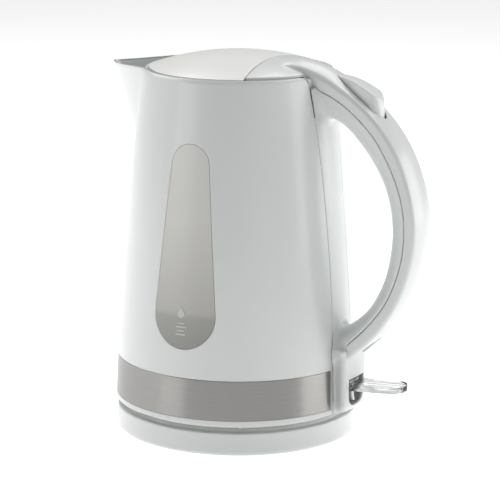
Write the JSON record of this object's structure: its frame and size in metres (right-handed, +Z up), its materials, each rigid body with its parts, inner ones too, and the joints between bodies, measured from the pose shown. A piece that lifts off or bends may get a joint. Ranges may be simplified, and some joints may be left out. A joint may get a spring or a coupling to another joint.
{
  "type": "cordless electric kettle",
  "caption": "White cordless jug kettle with V spout, water-level windows, steel band, C-shaped handle, push-button hinged lid and rear switch lever, on a round power base.",
  "frame": {"origin": "on the axis of the jug and the power base, at the surface the rubber feet stand on", "axes": "+Z is up; the spout points to -X and the handle to +X; Y runs across the kettle, with the cord outlet of the base on the +Y side"},
  "size_m": [0.2137, 0.1506, 0.2352],
  "materials": {
    "white_gloss_plastic": "satin gloss white",
    "lid_plastic": "satin warm light grey white",
    "white_matte_plastic": "matte white",
    "dark_plastic": "matte dark grey",
    "grey_rubber": "matte grey",
    "seal_rubber": "matte silicone red",
    "contact_brass": "plain",
    "screw_steel": "zinc plated",
    "band_steel": "brushed stainless steel",
    "diffuser_aluminium": "as cast",
    "window_plastic": "translucent warm grey",
    "lever_plastic": "clear, ribbed",
    "lamp_plastic": "translucent amber",
    "lead_plastic": "silicone insulated",
    "mesh_fabric": "fine nylon mesh"
  },
  "bodies": {
    "power_base": {"base_shell": "white_gloss_plastic", "base_plate": "white_matte_plastic", "base_feet": "grey_rubber", "base_connector": "dark_plastic", "base_contacts": "contact_brass", "base_screws": "screw_steel", "cord_gland": "white_matte_plastic"},
    "kettle": {"jug_body": "white_gloss_plastic", "spout": "white_gloss_plastic", "window_near": "window_plastic", "window_far": "window_plastic", "decor_band": "band_steel", "handle_frame": "white_gloss_plastic", "handle_cover": "white_gloss_plastic", "handle_screw": "screw_steel", "hinge_carrier": "white_matte_plastic", "hinge_pin": "screw_steel", "lid_spring": "screw_steel", "button_pin": "screw_steel", "button_spring": "screw_steel", "filter_frame": "white_matte_plastic", "filter_mesh": "mesh_fabric", "heater_plate": "band_steel", "heater_seal": "seal_rubber", "diffuser_plate": "diffuser_aluminium", "heating_element": "diffuser_aluminium", "control_unit": "dark_plastic", "kettle_contacts": "contact_brass", "chassis": "white_matte_plastic", "chassis_screws": "screw_steel", "steam_tube": "white_matte_plastic", "steam_thermostat": "dark_plastic", "indicator_lamp": "lamp_plastic", "control_leads": "lead_plastic", "lever_pin": "screw_steel"},
    "lid": {"lid_cover": "lid_plastic", "lid_liner": "white_matte_plastic"},
    "button": {"release_button": "white_gloss_plastic"},
    "latch": {"latch_rod": "white_matte_plastic"},
    "switch": {"switch_lever": "lever_plastic"}
  },
  "joints": [
    {"name": "kettle_lift", "type": "slide", "parent": "power_base", "child": "kettle", "axis": [0, 0, 1], "range_m": [0, 0.12]},
    {"name": "lid_hinge", "type": "hinge", "parent": "kettle", "child": "lid", "pos_m": [0.038, 0, 0.2225], "axis": [0, 1, 0], "range_deg": [0, 75]},
    {"name": "button_press", "type": "hinge", "parent": "kettle", "child": "button", "pos_m": [0.0705, 0, 0.2196], "axis": [0, 1, 0], "range_deg": [0, 6], "stiffness_Nm_per_rad": 0.6},
    {"name": "latch_slide", "type": "slide", "parent": "kettle", "child": "latch", "axis": [-1, 0, 0], "range_m": [0, 0.0012]},
    {"name": "switch_rock", "type": "hinge", "parent": "kettle", "child": "switch", "pos_m": [0.0772, 0, 0.0366], "axis": [0, 1, 0], "range_deg": [0, 14]}
  ],
  "couplings": [
    {"joint": "latch_slide", "follows": "button_press", "m_per_rad": 0.0102}
  ]
}
